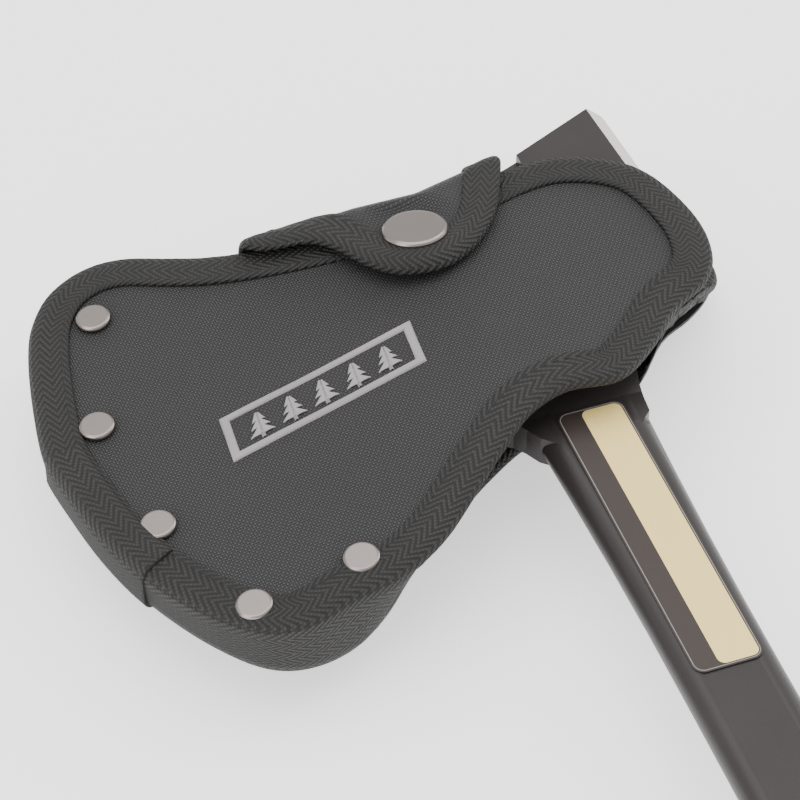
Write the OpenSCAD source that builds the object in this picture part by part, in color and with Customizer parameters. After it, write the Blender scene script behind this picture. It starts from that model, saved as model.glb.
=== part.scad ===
// One-piece forged axe lying on its back in a riveted fabric sheath.
// Drawn with the shank centreline on x = 0 and the mid-plane of the forging on z = 0,
// then moved so the origin is under the middle of the bounding box.

/* [Axe] */
// whole length, top of the poll to the butt of the grip
axe_len = 660; // [450:5:900]
// thickness of the poll
poll_t = 24.8; // [18:0.2:32]
// radius of the cutting edge
bit_r = 123; // [90:1:160]
// width of the shank below the head
shank_w = 26; // [20:0.5:34]
// thickness of the shank
shank_t = 9.4; // [7:0.2:14]

/* [Grip] */
// length of the moulded grip
grip_len = 250; // [150:5:320]
// largest diameter of the grip's palm swell
grip_d = 34; // [28:0.5:40]
// thickness across the grip's two flats
grip_flat = 28; // [22:0.5:36]

/* [Sheath] */
// thickness of the panel fabric
panel_t = 1.6; // [1:0.1:3]
// thickness of the stiffener sheet under each panel
stiff_t = 1; // [0.6:0.1:2]
// thickness of the binding tape
bind_t = 1; // [0.6:0.1:1.6]
// visible width of the binding tape
bind_w = 11; // [8:0.5:16]
// half thickness of the sheath at the poll, outside the panel
half_t = 16.6; // [14:0.1:20]
// how much each panel leans in toward the bit, in degrees
lean = 5.85; // [3:0.05:8]

/* [Hardware] */
// diameter of a rivet cap
rivet_d = 9.5; // [7:0.5:13]
// diameter of the snap cap
snap_d = 18; // [12:0.5:22]

/* [Strap] */
// thickness of the strap
strap_t = 2.2; // [1.5:0.1:4]
// clear space inside the belt loop
loop_gap = 5.4; // [4:0.2:9]

/* [Hidden] */
$fn = 64;

// top and bottom of the poll face in plan, before its edges are bevelled
poll_a = [45.4, 73.6];
poll_b = [48.85, 15];
// where the top of the head starts to fall away toward the toe
crest = [11.5, 58.3];
// the ground bevel: its depth behind the face, its height, and the corner's drop
bevel = [4.5, 3.3, 3.3];
corner_slope = 0.507;
face_a = atan2(poll_b[0] - poll_a[0], poll_a[1] - poll_b[1]);
face_h = norm(poll_a - poll_b);
crest_slope = tan(atan2(poll_a[1] - crest[1], poll_a[0] - crest[0]) - face_a);
corner_x = bevel[2] / (corner_slope + crest_slope);
head_top = poll_b[1] - corner_x * sin(face_a)
  + (face_h - corner_x * crest_slope) * cos(face_a);
butt_y = head_top - axe_len;
floor_z = half_t + bind_t + loop_gap + strap_t;
origin = [-38.452, (head_top + butt_y) / 2, -floor_z];
reach = 400;
bit_c = [15.3, 0];
knee_x = -20;
side_clear = 0.3;
slope = tan(lean);
rim_r = shank_t / 2;

// knots round the sheath's outer contour, anticlockwise, shared bit side first
bit_knots = [[-50, 45.8], [-64, 48], [-77.5, 51.5], [-88, 56], [-99, 61], [-110, 61.8],
  [-121, 57], [-128.5, 47.5], [-132.6, 36], [-135.8, 20], [-138, 1], [-136, -14],
  [-132, -32], [-126, -48], [-116, -64.5], [-104.5, -76.5], [-93, -79.8], [-80, -76.6]];
front_knots = [[-66, -74], [-52.8, -67], [-40.9, -56.5], [-30, -46.5], [-18.5, -37],
  [-6, -32.3], [8, -33.5], [21, -25], [32, -14.5], [43.5, -7.5], [49.5, 3], [50.4, 18],
  [45.5, 36], [36, 46], [22, 51.5], [8, 50.8], [-12, 45.3], [-32, 44.3]];
back_knots = [[-68, -68], [-58, -57.5], [-47.9, -48], [-38, -39], [-26, -29.5],
  [-14, -22], [0, -18.8], [14, -18], [26, -10.5], [37.2, 1.5], [47.5, 7], [56, 13.5],
  [61.8, 23], [60, 36], [50, 47], [34, 51.5], [8, 50.8], [-12, 45.3], [-32, 44.3]];
tab_knots = [[-69.5, 60], [-69.5, 48], [-67, 42.5], [-60, 40.6], [-53, 39.5], [-47.6, 34.5],
  [-42.6, 26], [-36.4, 19], [-28.5, 16], [-20, 16.4], [-9.8, 22], [-1, 31.5], [4, 41],
  [6.8, 48], [8, 60]];
rivets = [[-112.8, 41.8], [-122.6, 4.1], [-117.8, -34.5], [-103.5, -68.8], [-74.6, -65.7]];
snap_at = [-25.1, 31.9];
// how far the snap cap is pulled over toward the fold
snap_tilt = 12;
bridge_at = [-19, 50.3];
bridge_rise = 15;

// a smooth closed curve through a list of knots
function through(a, b, c, d, t) =
  0.5 * (2 * b + (c - a) * t + (2 * a - 5 * b + 4 * c - d) * t * t
  + (3 * b - a - 3 * c + d) * t * t * t);
function ring(k, steps = 4) = let (n = len(k)) [for (i = [0:n - 1]) for (j = [0:steps - 1])
  through(k[(i + n - 1) % n], k[i], k[(i + 1) % n], k[(i + 2) % n], j / steps)];
// the same curve moved inward, for curves that run anticlockwise
function inset(c, d) = let (n = len(c)) [for (i = [0:n - 1])
  let (t = c[(i + 1) % n] - c[(i + n - 1) % n]) c[i] + d * [-t[1], t[0]] / norm(t)];
// points along a curve that starts toward m and ends at b
function bend(a, m, b, steps = 8) = [for (i = [0:steps]) let (t = i / steps)
  (1 - t) * (1 - t) * a + 2 * t * (1 - t) * m + t * t * b];
// half thickness of the sheath at a place between bit and poll
function half_at(x) = half_t - max(0, knee_x - x) * slope;

front_edge = concat(bit_knots, front_knots);
back_edge = concat(bit_knots, back_knots);
out_z = half_t + bind_t + side_clear + strap_t;

// plan outline between two heights
module plan(knots, low, high) {
  translate([0, 0, low]) linear_extrude(high - low) polygon(ring(knots));
}

// everything between two depths under the front panel's face, negative depth is above it
module layer(deep, shallow) {
  rotate([90, 0, 0]) translate([0, 0, -reach / 4]) linear_extrude(reach / 2) polygon([
    [-160, half_at(-160) - deep], [knee_x, half_t - deep], [90, half_t - deep],
    [90, half_t - shallow], [knee_x, half_t - shallow], [-160, half_at(-160) - shallow]]);
}

// the space between both panels' faces, grown by a margin
module wedge(margin) {
  rotate([90, 0, 0]) translate([0, 0, -reach / 4]) linear_extrude(reach / 2) polygon([
    [-160, half_at(-160) + margin], [-160, -half_at(-160) - margin],
    [knee_x, -half_t - margin], [90, -half_t - margin],
    [90, half_t + margin], [knee_x, half_t + margin]]);
}

// the stretch where both panels are sewn together, from the toe round to the heel
module seam_zone() {
  translate([0, 0, -50]) linear_extrude(100)
    polygon([[-92, 80], [-150, 80], [-150, -95], [-78, -95], [-78, -60], [-92, -20]]);
}

module post_holes() {
  for (p = rivets) translate([p[0], p[1], -40]) cylinder(h = 80, d = 3.2);
}

// room for each rivet's caps and post where tape is pressed down round them
module rivet_room() {
  for (s = [0, 1], p = rivets) mirror([0, 0, s]) on_front(p) translate([0, 0, -0.05])
    cylinder(h = 6, d = rivet_d + 0.2);
  post_holes();
}

// where the leather strip lies between the panels
module welt_zone(margin) {
  translate([0, 0, -50]) linear_extrude(100) polygon([[-92 + margin, 80], [-150, 80],
    [-150, -95], [-70.5 + margin, -95], [-70.5 + margin, -50 + margin], [-92 + margin, -20]]);
}

module panel_sheet(edge, gap, deep, shallow) {
  difference() {
    intersection() {
      plan(inset(edge, gap), 0, 40);
      layer(deep, shallow);
    }
    post_holes();
  }
}

// tape folded over one panel's free edge
module free_binding(edge) {
  stack = panel_t + stiff_t;
  difference() {
    intersection() {
      difference() {
        plan(edge, 0, 40);
        plan(inset(edge, bind_w), -1, 41);
      }
      layer(stack + bind_t, -bind_t);
    }
    intersection() {
      plan(inset(edge, bind_t), -1, 41);
      layer(stack, 0);
    }
    intersection() {
      plan(inset(edge, bind_t), -1, 41);
      layer(stack + bind_t + 2, stack);
      welt_zone(0.3);
    }
    seam_zone();
    rivet_room();
  }
}

module head_outline() {
  polygon(concat(
    [poll_a],
    bend(crest, [-25, 41.6], [-99, 49.6]),
    [[-125, 52], [-125, -58]],
    bend([-94, -52], [-60, -46], [-40, -31]),
    bend([-38, -29.5], [-24, -19], [-15.5, -37]),
    [[-11, -41], [11, -41]],
    bend([15, -37], [16, -19], [25, -4]),
    [poll_b]));
}

module head() {
  ht = poll_t / 2;
  web = rim_r - 0.15;
  bevel_r = bit_r - 12;
  intersection() {
    translate([0, 0, -20]) linear_extrude(40) head_outline();
    union() {
      intersection() {
        translate([bit_c[0], bit_c[1], 0]) rotate_extrude($fn = 180)
          polygon([[0, -ht], [26, -ht], [46, -ht + 1], [bevel_r, -2.4], [bit_r, -0.3],
            [bit_r, 0.3], [bevel_r, 2.4], [46, ht - 1], [26, ht], [0, ht]]);
        translate([bit_c[0] - 200, -150, -20]) cube([200, 300, 40]);
      }
      translate([bit_c[0], -100, -ht]) cube([60, 200, poll_t]);
    }
    rotate([90, 0, 90]) translate([0, 0, -200]) linear_extrude(300) polygon([
      [-60, -web], [-30, -web], [2, -ht], [100, -ht],
      [100, ht], [2, ht], [-30, web], [-60, web]]);
    poll_chamfers();
  }
}

// the ground bevel round the poll face
module poll_chamfers() {
  ht = poll_t / 2;
  translate([poll_b[0], poll_b[1], 0]) rotate([0, 0, face_a]) intersection() {
    rotate([90, 0, 0]) translate([0, 0, -face_h - 100]) linear_extrude(face_h + 200)
      polygon([[0, -ht + bevel[1]], [-bevel[0], -ht], [-bevel[0], -40], [-300, -40],
        [-300, 40], [-bevel[0], 40], [-bevel[0], ht], [0, ht - bevel[1]]]);
    translate([0, 0, -40]) linear_extrude(80)
      polygon([[0, 4], [0, face_h - bevel[2]], [-9, face_h - bevel[2] + 9 * corner_slope],
        [-300, face_h + 200], [-300, -300], [-60, -300], [-6, -5.2]]);
  }
}

// the shank, with a round rim down each side that flares toward the head
module shank() {
  flare = 2.7;
  run = 100;
  flare_top = -26;
  turn_r = (run * run + flare * flare) / (2 * flare);
  turn_a = asin(run / turn_r);
  low = flare_top - run;
  a = shank_w / 2 - rim_r;
  foot = butt_y + grip_len;
  for (s = [0, 1]) mirror([s, 0, 0]) {
    translate([a + turn_r, low, 0]) rotate([0, 0, 180 - turn_a])
      rotate_extrude(angle = turn_a, $fn = 240) translate([turn_r, 0]) circle(rim_r);
    translate([a, foot, 0]) rotate([-90, 0, 0]) cylinder(h = low - foot, r = rim_r);
  }
  side = [for (i = [0:6]) let (t = turn_a * i / 6)
    [a + turn_r * (1 - cos(t)), low + turn_r * sin(t)]];
  web = rim_r - 0.15;
  translate([0, 0, -web]) linear_extrude(2 * web) polygon(concat([[a, foot]], side,
    [for (i = [6:-1:0]) [-side[i][0], side[i][1]]], [[-a, foot]]));
}

module tang() {
  translate([-8, butt_y + 18, -4]) cube([16, grip_len - 17, 8]);
}

module axe_forging() {
  color([0.13, 0.13, 0.13]) {
    head();
    shank();
    tang();
  }
}

module shank_label() {
  w = 18.6;
  top = -31;
  len_l = 92;
  r = 3;
  color([0.85, 0.74, 0.5]) translate([0, 0, rim_r]) linear_extrude(0.3) difference() {
    union() {
      translate([-w / 2, top - len_l + r]) square([w, len_l - 2 * r]);
      translate([-w / 2 + r, top - len_l]) square([w - 2 * r, len_l]);
      for (x = [-1, 1], y = [top - len_l + r, top - r]) translate([x * (w / 2 - r), y]) circle(r);
    }
  }
}

module grip() {
  r = grip_d / 2;
  // radius at distances up from the butt
  shape = [[0, 0], [0, 15], [1.2, 17.6], [4, 19.6], [9, 20.6], [16, 20], [26, 17.8],
    [42, 15.8], [70, 15.4], [105, r - 0.3], [130, r], [160, r - 0.5], [195, 15.6],
    [grip_len - 14, 14.8], [grip_len - 10, 16], [grip_len - 3, 16], [grip_len, 14.6],
    [grip_len, 0]];
  color([0.08, 0.08, 0.09]) difference() {
    intersection() {
      translate([0, butt_y, 0]) rotate([-90, 0, 0]) rotate_extrude($fn = 96)
        polygon([for (p = shape) [p[1], p[0]]]);
      translate([-50, butt_y - 1, -grip_flat / 2]) cube([100, grip_len + 2, grip_flat]);
    }
    tang();
  }
}

module front_panel() {
  color([0.3, 0.29, 0.3]) difference() {
    panel_sheet(front_edge, bind_t, panel_t, 0);
    translate([snap_at[0], snap_at[1], 0]) cylinder(h = 40, d = 4);
  }
}

module back_panel() {
  color([0.3, 0.29, 0.3]) mirror([0, 0, 1]) panel_sheet(back_edge, bind_t, panel_t, 0);
}

module front_stiffener() {
  color([0.12, 0.12, 0.12]) difference() {
    panel_sheet(front_edge, bind_t, panel_t + stiff_t, panel_t);
    translate([snap_at[0], snap_at[1], 0]) cylinder(h = 40, d = 12);
  }
}

module back_stiffener() {
  color([0.12, 0.12, 0.12]) mirror([0, 0, 1])
    panel_sheet(back_edge, bind_t, panel_t + stiff_t, panel_t);
}

// leather strip between the panels, so the edge never reaches the stitches
module edge_welt() {
  room_r = bit_r + 2;
  color([0.45, 0.3, 0.18]) difference() {
    intersection() {
      plan(inset(back_edge, bind_t), -20, 20);
      plan(inset(front_edge, bind_t), -21, 21);
      wedge(-panel_t - stiff_t);
      welt_zone(0);
    }
    translate([0, 0, -30]) linear_extrude(60) polygon(concat(
      [for (a = [-28:4:28]) [bit_c[0] - room_r * cos(a), -room_r * sin(a)]],
      [[-88, -57], [-60, -54], [-60, 70]]));
    post_holes();
  }
}

module seam_binding() {
  color([0.22, 0.21, 0.21]) difference() {
    intersection() {
      difference() {
        plan(front_edge, -40, 40);
        plan(inset(front_edge, bind_w), -41, 41);
      }
      wedge(bind_t);
      seam_zone();
    }
    intersection() {
      plan(inset(front_edge, bind_t), -41, 41);
      wedge(0);
    }
    rivet_room();
  }
}

module front_binding() {
  color([0.22, 0.21, 0.21]) difference() {
    free_binding(front_edge);
    translate([snap_at[0], snap_at[1], half_t - 3]) cylinder(h = 10, d = 13);
    translate([snap_at[0], snap_at[1], 0]) cylinder(h = 20, d = 10.6);
  }
}

module back_binding() {
  color([0.22, 0.21, 0.21]) mirror([0, 0, 1]) free_binding(back_edge);
}

// the end of the seam tape lapped over its start
module binding_lap() {
  color([0.22, 0.21, 0.21]) intersection() {
    difference() {
      plan(inset(front_edge, -bind_t), -40, 40);
      intersection() {
        plan(front_edge, -41, 41);
        wedge(bind_t);
      }
      plan(inset(front_edge, bind_w - 3), -41, 41);
    }
    wedge(2 * bind_t);
    translate([0, 0, -50]) linear_extrude(100) polygon([[-150, 2], [-120, -2], [-108, -36],
      [-132, -55], [-150, -58]]);
  }
}

module rivet_cap() {
  r = rivet_d / 2;
  rotate_extrude() polygon([[0, 0], [r - 0.2, 0], [r, 0.25], [r, 0.8],
    [r - 0.15, 1.15], [r - 0.45, 1.4], [r - 0.8, 1.5], [0, 1.5]]);
}

module on_front(p) {
  translate([p[0], p[1], half_at(p[0])]) rotate([0, -lean, 0]) children();
}

module rivet_caps() {
  color([0.62, 0.6, 0.56]) for (p = rivets) on_front(p) rivet_cap();
}

module rivet_posts() {
  color([0.62, 0.6, 0.56]) for (p = rivets) {
    top = half_at(p[0]) - 0.1;
    translate([p[0], p[1], -top]) cylinder(h = 2 * top, d = 3);
    mirror([0, 0, 1]) on_front(p) rivet_cap();
  }
}

// satin-stitched hill and tree badge across the middle of the front panel
module embroidery() {
  tilt = 12;
  color([0.7, 0.68, 0.68]) translate([-65, -8.3, half_at(-65)]) rotate([0, -lean, 0])
    rotate([0, 0, tilt]) linear_extrude(0.6) {
      difference() {
        polygon([[-31, -7.4], [-27, 7.4], [31, 7.4], [27, -7.4]]);
        polygon([[-28, -5.4], [-25, 5.4], [28, 5.4], [25, -5.4]]);
      }
      for (i = [-2:2]) translate([i * 9, 0]) polygon([[-3.6, -4], [0, 4.4 - abs(i)], [3.6, -4]]);
    }
}

module snap_stud() {
  z = half_t;
  color([0.62, 0.6, 0.56]) translate([snap_at[0], snap_at[1], z]) rotate_extrude()
    polygon([[0, -0.4], [1.9, -0.4], [1.9, 0], [5, 0], [5, 0.4], [2.3, 0.5], [2.3, 1],
      [1.8, 1.3], [0, 1.3]]);
}

module stud_post() {
  z = half_at(snap_at[0] - 5) - panel_t - 0.02;
  rise = half_t - 0.45 - z;
  color([0.62, 0.6, 0.56]) translate([snap_at[0], snap_at[1], z]) rotate_extrude()
    polygon([[0, -0.8], [5, -0.8], [5, 0], [1.8, 0], [1.8, rise], [0, rise]]);
}

// webbing loop on the back, open along X for a belt
module belt_loop() {
  z = half_t;
  end = 6;
  y0 = -8;
  y1 = 43;
  color([0.16, 0.16, 0.16]) difference() {
    translate([-46, 0, 0]) rotate([0, 90, 0]) linear_extrude(56) difference() {
      translate([z - 4, y0]) square([floor_z - z + 4, y1 - y0]);
      translate([z - 5, y0 + end]) square([floor_z - z - strap_t + 5, y1 - y0 - 2 * end]);
    }
    wedge(0);
    difference() {
      wedge(bind_t);
      plan(inset(back_edge, bind_w), -50, 50);
    }
  }
}

module strap_anchor() {
  color([0.3, 0.29, 0.3]) difference() {
    translate([-66, 36, -out_z]) cube([72, 9.5, strap_t + 3]);
    wedge(bind_t);
    translate([-47, 30, -out_z - 10]) cube([58, 13.3, 40]);
  }
}

// section across the strap's fold, open below, y measured from the inside of the fold
module fold_section(grow) {
  z = out_z - strap_t + grow;
  top = grow;
  polygon([[-20, z], [-4.9 + 0.4 * grow, z], [top, 12.1 + 0.4 * grow],
    [top, -12.1 - 0.4 * grow], [-4.9 + 0.4 * grow, -z], [-20, -z]]);
}

// one straight run of the fold, level or rising toward the poll
module fold_run(rise, back, ahead) {
  translate([bridge_at[0], bridge_at[1], 0]) rotate([0, 0, rise])
    translate([-back, 0, 0]) rotate([90, 0, 90]) linear_extrude(back + ahead)
      difference() {
        fold_section(strap_t);
        fold_section(0);
      }
}

module bridge_shell() {
  intersection() {
    fold_run(0, 50, 2);
    translate([-80, 46.2, -50]) cube([100, 30, 100]);
  }
  intersection() {
    fold_run(bridge_rise, 5, 35);
    translate([bridge_at[0] - 0.5, 46.2, -50]) cube([27.5, 30, 100]);
  }
}

// the strap where it runs over the top of both panels
module strap_bridge() {
  color([0.3, 0.29, 0.3]) intersection() {
    bridge_shell();
    translate([-68, 0, -50]) cube([75, 100, 100]);
  }
}

module bridge_binding() {
  color([0.22, 0.21, 0.21]) for (x = [-69, 7]) intersection() {
    bridge_shell();
    translate([x, 0, -50]) cube([1, 100, 100]);
  }
}

module tab_part(gap, low, high) {
  intersection() {
    plan(inset(tab_knots, gap), low, high);
    translate([-100, 0, 0]) cube([120, 45.2, 50]);
  }
}

module on_tab() {
  translate([snap_at[0], snap_at[1], out_z]) rotate([-snap_tilt, 0, 0]) children();
}

module strap_tab() {
  low = out_z - strap_t;
  color([0.3, 0.29, 0.3]) difference() {
    tab_part(1, low, out_z);
    translate([snap_at[0], snap_at[1], 0]) cylinder(h = 60, d = 8.2);
    on_tab() cylinder(h = 6, d = snap_d + 0.2);
  }
}

module tab_binding() {
  low = out_z - strap_t;
  color([0.22, 0.21, 0.21]) difference() {
    tab_part(0, low, out_z + 0.8);
    tab_part(1, low - 1, out_z);
    plan(inset(tab_knots, 7), low - 1, low + 20);
    on_tab() cylinder(h = 6, d = snap_d + 0.2);
  }
}

module snap_cap() {
  r = snap_d / 2;
  color([0.62, 0.6, 0.56]) on_tab() rotate_extrude()
    polygon([[0, -0.4], [3.7, -0.4], [3.7, 0], [r - 0.4, 0], [r, 0.4], [r, 1.1],
      [r - 0.25, 1.6], [r - 0.8, 1.95], [r - 1.5, 2.05], [0, 2.05]]);
}

// the female half set through the tab, open below for the stud
module snap_socket() {
  low = out_z - strap_t;
  rim = strap_t - 1.3;
  color([0.62, 0.6, 0.56]) translate([snap_at[0], snap_at[1], low]) rotate_extrude()
    polygon([[2.7, -0.5], [6, -0.5], [6, 0], [4, 0], [4, rim], [0, rim], [0, rim - 0.5],
      [2.7, rim - 0.5]]);
}

translate(-origin) {
  axe_forging();
  shank_label();
  grip();
  front_panel();
  back_panel();
  front_stiffener();
  back_stiffener();
  edge_welt();
  seam_binding();
  front_binding();
  back_binding();
  binding_lap();
  rivet_caps();
  rivet_posts();
  embroidery();
  snap_stud();
  stud_post();
  belt_loop();
  strap_anchor();
  strap_bridge();
  bridge_binding();
  strap_tab();
  tab_binding();
  snap_cap();
  snap_socket();
}
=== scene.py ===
"""A one-piece forged axe in its bound and riveted fabric sheath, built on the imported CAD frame."""

import math

import bmesh
import bpy
from mathutils import Matrix, Vector
from mathutils.noise import noise


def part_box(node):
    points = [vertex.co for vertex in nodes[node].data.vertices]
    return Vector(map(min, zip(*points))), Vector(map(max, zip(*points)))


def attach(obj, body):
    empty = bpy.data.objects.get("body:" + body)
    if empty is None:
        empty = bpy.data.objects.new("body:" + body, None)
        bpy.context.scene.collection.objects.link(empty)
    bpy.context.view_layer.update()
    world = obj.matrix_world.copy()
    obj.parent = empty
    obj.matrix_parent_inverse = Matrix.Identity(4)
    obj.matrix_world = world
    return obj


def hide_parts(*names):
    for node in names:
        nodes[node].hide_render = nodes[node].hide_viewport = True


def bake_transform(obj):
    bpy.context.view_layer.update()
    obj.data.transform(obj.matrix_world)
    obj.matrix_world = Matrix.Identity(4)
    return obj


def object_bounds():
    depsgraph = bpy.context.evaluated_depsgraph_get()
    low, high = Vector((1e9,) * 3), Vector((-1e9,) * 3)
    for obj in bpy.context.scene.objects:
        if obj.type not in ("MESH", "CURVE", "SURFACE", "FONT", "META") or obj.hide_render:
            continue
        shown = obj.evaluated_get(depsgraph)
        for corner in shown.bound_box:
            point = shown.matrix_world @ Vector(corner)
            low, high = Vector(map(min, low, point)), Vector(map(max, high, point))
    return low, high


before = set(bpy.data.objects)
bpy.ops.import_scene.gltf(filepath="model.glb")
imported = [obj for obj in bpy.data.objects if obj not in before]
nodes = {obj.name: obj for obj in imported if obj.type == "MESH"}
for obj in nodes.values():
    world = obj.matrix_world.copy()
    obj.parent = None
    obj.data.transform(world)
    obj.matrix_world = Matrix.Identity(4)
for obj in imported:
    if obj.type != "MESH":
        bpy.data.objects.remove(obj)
cad_low, cad_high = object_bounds()

# ---------------------------------------------------------------- drawing plane
# Pieces are laid out in millimetres in the axe's own plane: x = 0 on the shank's centreline,
# z = 0 on the forging's mid-plane, and y = 0 a hand's breadth under the top of the head.
MM = 0.001
label_low, label_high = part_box("shank_label")
forging_low, forging_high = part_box("axe_forging")
panel_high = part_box("front_panel")[1]
LABEL_TOP = -31
base = Vector(((label_low.x + label_high.x) / 2, label_high.y - LABEL_TOP * MM,
               (forging_low.z + forging_high.z) / 2))
FULL_HALF = (panel_high.z - base.z) / MM     # half thickness of the sheath at the poll
KNEE_X = -20                                 # the panels lean in toward the bit from here
LEAN = math.radians(5.85)


def at(x, y, z=0):
    return base + Vector((x, y, z)) * MM


def flat(point):
    """Where a point of the frame lies in the drawing plane."""
    return (point - base) / MM


def half_at(x):
    """Half thickness of the sheath, outside the panel, at a place between bit and poll."""
    return FULL_HALF - max(0, KNEE_X - x) * math.tan(LEAN)


def ease(low, high, value):
    t = min(max((value - low) / (high - low), 0), 1)
    return t * t * (3 - 2 * t)


# ---------------------------------------------------------------- camera, light, floor
# Seen from the butt side and half above, the head filling the picture. Three soft lights stand in
# a white room.
def studio():
    scene = bpy.context.scene
    camera = bpy.data.objects.new("camera", bpy.data.cameras.new("camera"))
    scene.collection.objects.link(camera)
    right = Vector((0.941, -0.338, -0.001)).normalized()
    ahead = Vector((0.235, 0.657, -0.716))
    ahead = (ahead - right * ahead.dot(right)).normalized()
    up = right.cross(ahead)
    turn = Matrix((right, up, -ahead)).transposed().to_4x4()
    camera.matrix_world = Matrix.Translation(at(-240.27, -551.06, 596.08)) @ turn
    camera.data.sensor_width = 36
    camera.data.lens = 141.75
    camera.data.shift_x = 0.0094
    camera.data.shift_y = -0.0094
    camera.data.clip_start = 0.05
    camera.data.clip_end = 30
    scene.camera = camera

    def soft_box(name, place, size, power, aim=at(0, 0)):
        light = bpy.data.objects.new(name, bpy.data.lights.new(name, "AREA"))
        light.data.shape = "RECTANGLE"
        light.data.size, light.data.size_y = size
        light.data.energy = power
        light.location = place
        light.rotation_mode = "QUATERNION"
        light.rotation_quaternion = (place - aim).to_track_quat("Z", "Y")
        scene.collection.objects.link(light)

    soft_box("top_light", at(-100, 200, 1500), (1.6, 1.6), 17)
    soft_box("left_light", at(-1300, -500, 900), (1.0, 1.4), 12)
    soft_box("right_light", at(1200, 300, 800), (0.8, 1.4), 9)
    world = bpy.data.worlds.new("room")
    world.use_nodes = True
    world.node_tree.nodes["Background"].inputs["Color"].default_value = (1, 1, 1, 1)
    world.node_tree.nodes["Background"].inputs["Strength"].default_value = 1.1
    scene.world = world


# ---------------------------------------------------------------- shader sums
class Socket:
    """A shader value that adds, multiplies and compares like a number."""

    def __init__(self, tree, out):
        self.tree, self.out = tree, out

    def node(self, kind, inputs=(), out=0, **settings):
        made = self.tree.nodes.new(kind)
        for key, value in settings.items():
            setattr(made, key, value)
        for place, value in dict(inputs).items():
            if isinstance(value, Socket):
                self.tree.links.new(value.out, made.inputs[place])
            else:
                made.inputs[place].default_value = value
        return Socket(self.tree, made.outputs[out])

    def math(self, operation, *others):
        inputs = dict(enumerate((self,) + others))
        return self.node("ShaderNodeMath", inputs, operation=operation)

    def vector(self, operation, *others, out=0):
        inputs = dict(enumerate((self,) + others))
        return self.node("ShaderNodeVectorMath", inputs, out=out, operation=operation)

    def scaled(self, factor):
        return self.node("ShaderNodeVectorMath", {0: self, "Scale": factor}, operation="SCALE")

    def drawn(self):
        """A place in the frame, in the drawing plane's millimetres."""
        return self.vector("SUBTRACT", tuple(base)).scaled(1 / MM)

    def __add__(self, other): return self.math("ADD", other)
    def __radd__(self, other): return self.math("ADD", other)
    def __sub__(self, other): return self.math("SUBTRACT", other)
    def __rsub__(self, other): return (self * -1).math("ADD", other)
    def __mul__(self, other): return self.math("MULTIPLY", other)
    def __rmul__(self, other): return self.math("MULTIPLY", other)
    def __truediv__(self, other): return self.math("DIVIDE", other)
    def __pow__(self, other): return self.math("POWER", other)
    def __gt__(self, other): return self.math("GREATER_THAN", other)
    def __lt__(self, other): return self.math("LESS_THAN", other)

    def above(self, low, high):
        """0 below low, 1 above high, smooth between."""
        return self.node("ShaderNodeMapRange", {0: self, 1: low, 2: high},
                         interpolation_type="SMOOTHSTEP")

    def mix(self, first, second):
        """Between two colours, by this value."""
        return self.node("ShaderNodeMix", {0: self, 6: first, 7: second}, out=2,
                         data_type="RGBA")

    def axis(self, name):
        return self.node("ShaderNodeSeparateXYZ", {0: self}, out="XYZ".index(name))

    def cloud(self, scale, detail=3, roughness=0.55):
        """Smooth noise from 0 to 1."""
        return self.node("ShaderNodeTexNoise", {"Vector": self, "Scale": scale,
                         "Detail": detail, "Roughness": roughness})


def material(name, paint):
    """A material whose nodes are laid by paint(shader, place, sheet), in object and sheet space."""
    made = bpy.data.materials.new(name)
    made.use_nodes = True
    tree = made.node_tree
    shader = tree.nodes["Principled BSDF"]
    where = tree.nodes.new("ShaderNodeTexCoord")
    paint(Shader(tree, shader), Socket(tree, where.outputs["Object"]),
          Socket(tree, where.outputs["UV"]))
    return made


class Shader:
    """The surface, set by plain words."""

    def __init__(self, tree, shader):
        self.tree, self.shader = tree, shader

    def set(self, **values):
        for key, value in values.items():
            place = self.shader.inputs[key.replace("_", " ")]
            if isinstance(value, Socket):
                self.tree.links.new(value.out, place)
            else:
                place.default_value = value

    def bump(self, height, depth, strength=1.0):
        """Raise the surface by height, a value from 0 to 1, times depth in millimetres."""
        bumped = height.node("ShaderNodeBump", {"Strength": strength, "Distance": depth * MM,
                             "Height": height})
        self.tree.links.new(bumped.out, self.shader.inputs["Normal"])


def grey(value, warm=0.0):
    return (value * (1 + warm), value, value * (1 - warm), 1)


# ---------------------------------------------------------------- mesh helpers
def finish_mesh(bm, name, surface, body=None, smooth=True):
    """Turn a bmesh into an object in the frame, out of the drawing plane."""
    for v in bm.verts:
        v.co = at(*v.co)
    bmesh.ops.recalc_face_normals(bm, faces=bm.faces)
    mesh = bpy.data.meshes.new(name)
    bm.to_mesh(mesh)
    bm.free()
    mesh.materials.append(surface)
    for polygon in mesh.polygons:
        polygon.use_smooth = smooth
    made = bpy.data.objects.new(name, mesh)
    bpy.context.scene.collection.objects.link(made)
    if body:
        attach(made, body)
    return made


def grid(bm, across, along, place, uv=None):
    """A grid of across by along points put where place(column, row) says."""
    made = bmesh.ops.create_grid(bm, x_segments=across - 1, y_segments=along - 1, size=1)
    sheet = bm.loops.layers.uv.verify()
    order = {v: divmod(i, across) for i, v in enumerate(made["verts"])}
    for v, (row, column) in order.items():
        v.co = place(column, row)
    if uv:
        for face in {f for v in made["verts"] for f in v.link_faces}:
            for loop in face.loops:
                row, column = order[loop.vert]
                loop[sheet].uv = uv(column, row)
    return made["verts"]


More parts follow.
